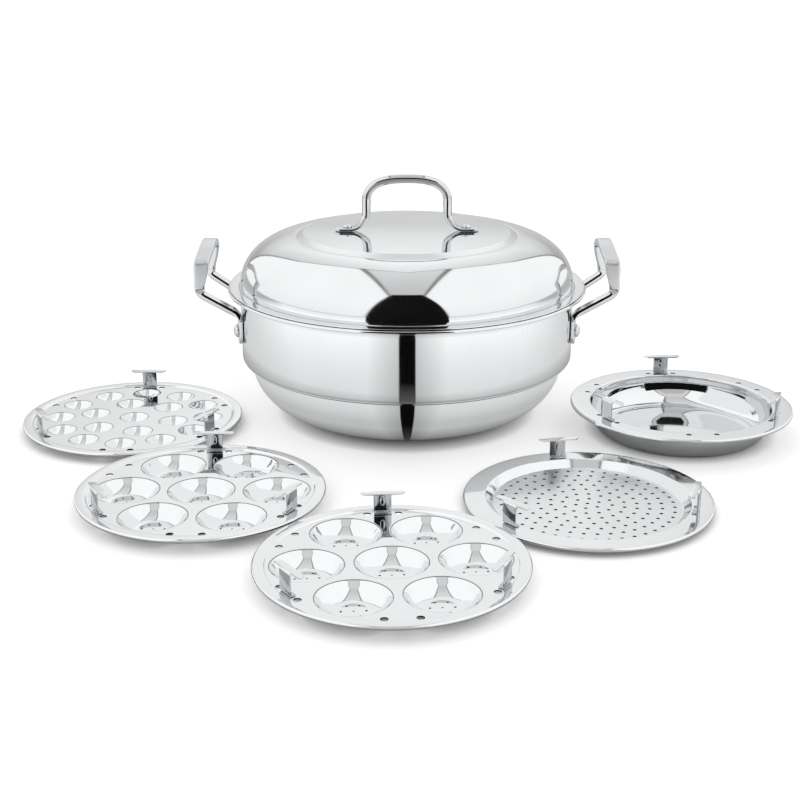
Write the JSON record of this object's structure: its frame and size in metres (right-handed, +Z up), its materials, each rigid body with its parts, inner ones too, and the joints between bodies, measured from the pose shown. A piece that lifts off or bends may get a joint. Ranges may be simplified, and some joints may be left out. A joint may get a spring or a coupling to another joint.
{
  "type": "multi kadai",
  "caption": "Stainless steel multi kadai: stepped pot with a domed lid and loop handles, with idli, mini idli, steamer and dhokla plates laid out in front.",
  "frame": {"origin": "centre of the underside of the pot base, on the table", "axes": "+Z up; +X towards the side handle on the right of the picture; -Y towards the viewer and the plates"},
  "size_m": [0.6679, 0.5996, 0.2137],
  "materials": {
    "polished_steel": "mirror-polished stainless steel",
    "satin_steel": "satin stainless steel",
    "core_aluminium": "plain sheet, hidden"
  },
  "bodies": {
    "kadai": {"kadai_body": "polished_steel", "base_core": "core_aluminium", "base_cap": "satin_steel", "handle_left": "polished_steel", "handle_right": "polished_steel", "handle_rivet_left_front": "polished_steel", "handle_rivet_left_back": "polished_steel", "handle_rivet_right_front": "polished_steel", "handle_rivet_right_back": "polished_steel"},
    "lid": {"lid_shell": "polished_steel", "lid_handle": "polished_steel", "lid_rivet_left": "polished_steel", "lid_rivet_right": "polished_steel"},
    "mini_idli": {"mini_idli_plate": "polished_steel", "mini_idli_bracket_1": "satin_steel", "mini_idli_bracket_2": "satin_steel", "mini_idli_bracket_3": "satin_steel"},
    "idli_left": {"idli_left_plate": "polished_steel", "idli_left_bracket_1": "satin_steel", "idli_left_bracket_2": "satin_steel", "idli_left_bracket_3": "satin_steel"},
    "idli_front": {"idli_front_plate": "polished_steel", "idli_front_bracket_1": "satin_steel", "idli_front_bracket_2": "satin_steel", "idli_front_bracket_3": "satin_steel"},
    "steamer": {"steamer_plate": "satin_steel", "steamer_bracket_1": "satin_steel", "steamer_bracket_2": "satin_steel", "steamer_bracket_3": "satin_steel"},
    "dhokla": {"dhokla_plate": "polished_steel", "dhokla_bracket_1": "satin_steel", "dhokla_bracket_2": "satin_steel", "dhokla_bracket_3": "satin_steel"}
  },
  "joints": [
    {"name": "lid_lift", "type": "slide", "parent": "kadai", "child": "lid", "axis": [0, 0, 1], "range_m": [0, 0.12]},
    {"name": "mini_idli_lift", "type": "slide", "parent": "kadai", "child": "mini_idli", "axis": [0, 0, 1], "range_m": [0, 0.04]},
    {"name": "idli_left_lift", "type": "slide", "parent": "kadai", "child": "idli_left", "axis": [0, 0, 1], "range_m": [0, 0.04]},
    {"name": "idli_front_lift", "type": "slide", "parent": "kadai", "child": "idli_front", "axis": [0, 0, 1], "range_m": [0, 0.04]},
    {"name": "steamer_lift", "type": "slide", "parent": "kadai", "child": "steamer", "axis": [0, 0, 1], "range_m": [0, 0.04]},
    {"name": "dhokla_lift", "type": "slide", "parent": "kadai", "child": "dhokla", "axis": [0, 0, 1], "range_m": [0, 0.04]}
  ]
}
